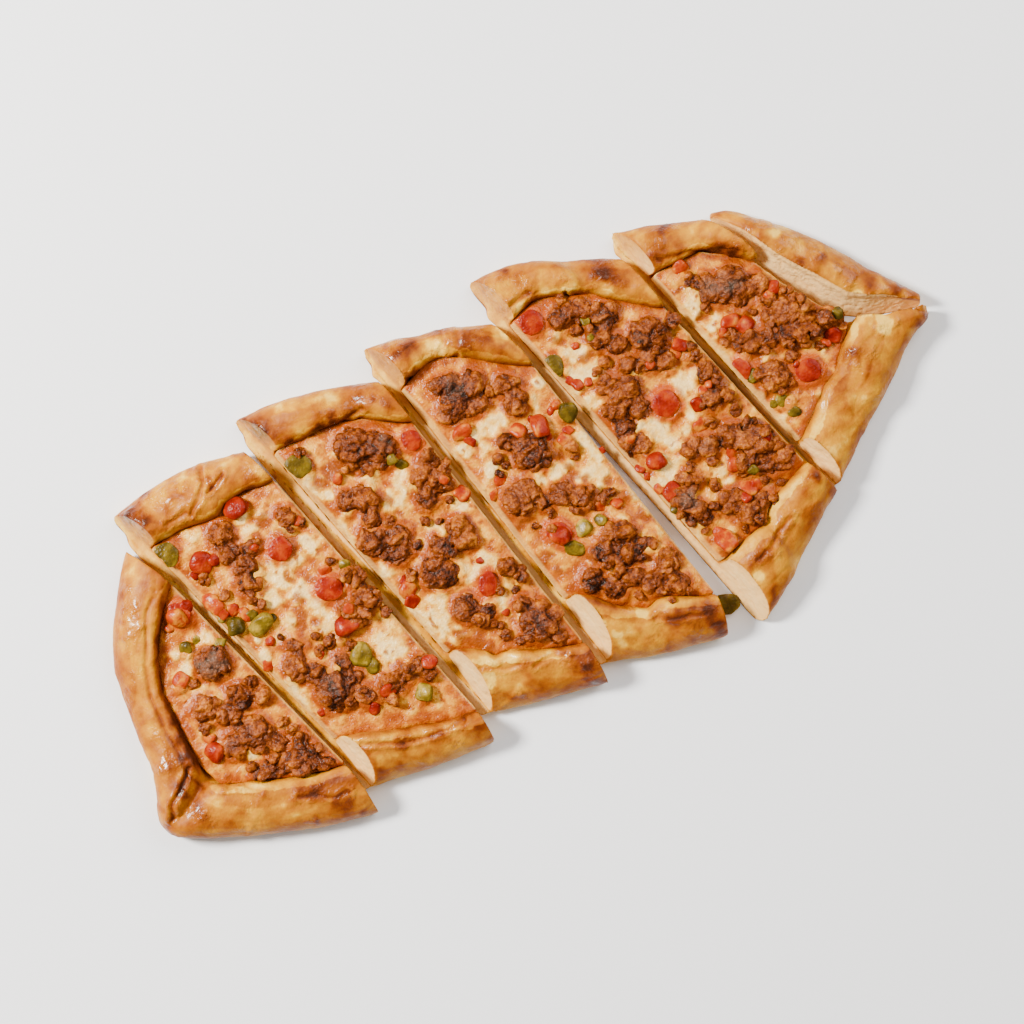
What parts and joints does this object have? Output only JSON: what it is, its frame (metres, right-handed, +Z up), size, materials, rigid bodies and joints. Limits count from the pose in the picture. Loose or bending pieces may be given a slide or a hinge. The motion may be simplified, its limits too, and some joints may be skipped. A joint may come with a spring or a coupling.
{
  "type": "turkish pide",
  "caption": "Boat-shaped Turkish flatbread with folded rims, melted cheese, minced meat and diced peppers, cut across into slices that lie side by side.",
  "frame": {"origin": "centre of the bounding box of the laid-out slices, on the table plane", "axes": "+X along the boat from its left tip to its right tip, +Y across it to its far rim, +Z up"},
  "size_m": [0.3352, 0.1688, 0.0155],
  "materials": {
    "dough": "baked bread crust, golden with brown patches and a soft glaze",
    "cheese": "melted cheese, creamy to golden, oily shine",
    "meat": "browned minced meat, craggy, slightly greasy",
    "red_pepper": "baked red pepper, wet shine",
    "green_pepper": "baked green pepper, wet shine"
  },
  "bodies": {
    "root": {"dough_1": "dough", "cheese_1": "cheese", "red_pepper_1_1": "red_pepper", "meat_1_1": "meat", "meat_1_2": "meat", "meat_1_3": "meat", "dough_2": "dough", "cheese_2": "cheese", "red_pepper_2_1": "red_pepper", "red_pepper_2_2": "red_pepper", "green_pepper_2_1": "green_pepper", "meat_2_1": "meat", "meat_2_2": "meat", "meat_2_3": "meat", "meat_2_4": "meat", "meat_2_5": "meat", "meat_2_6": "meat", "dough_3": "dough", "cheese_3": "cheese", "red_pepper_3_1": "red_pepper", "red_pepper_3_2": "red_pepper", "green_pepper_3_1": "green_pepper", "meat_3_1": "meat", "meat_3_2": "meat", "meat_3_3": "meat", "meat_3_4": "meat", "meat_3_5": "meat", "meat_3_6": "meat", "meat_3_7": "meat", "dough_4": "dough", "cheese_4": "cheese", "red_pepper_4_1": "red_pepper", "meat_4_1": "meat", "meat_4_2": "meat", "meat_4_3": "meat", "meat_4_4": "meat", "meat_4_5": "meat", "meat_4_6": "meat", "dough_5": "dough", "cheese_5": "cheese", "red_pepper_5_1": "red_pepper", "red_pepper_5_2": "red_pepper", "green_pepper_5_1": "green_pepper", "meat_5_1": "meat", "meat_5_2": "meat", "meat_5_3": "meat", "meat_5_4": "meat", "meat_5_5": "meat", "meat_5_6": "meat", "meat_5_7": "meat", "dough_6": "dough", "cheese_6": "cheese", "red_pepper_6_1": "red_pepper", "red_pepper_6_2": "red_pepper", "meat_6_1": "meat", "meat_6_2": "meat", "meat_6_3": "meat", "meat_6_4": "meat", "green_pepper_fallen": "green_pepper", "dough_7": "dough"}
  },
  "joints": []
}
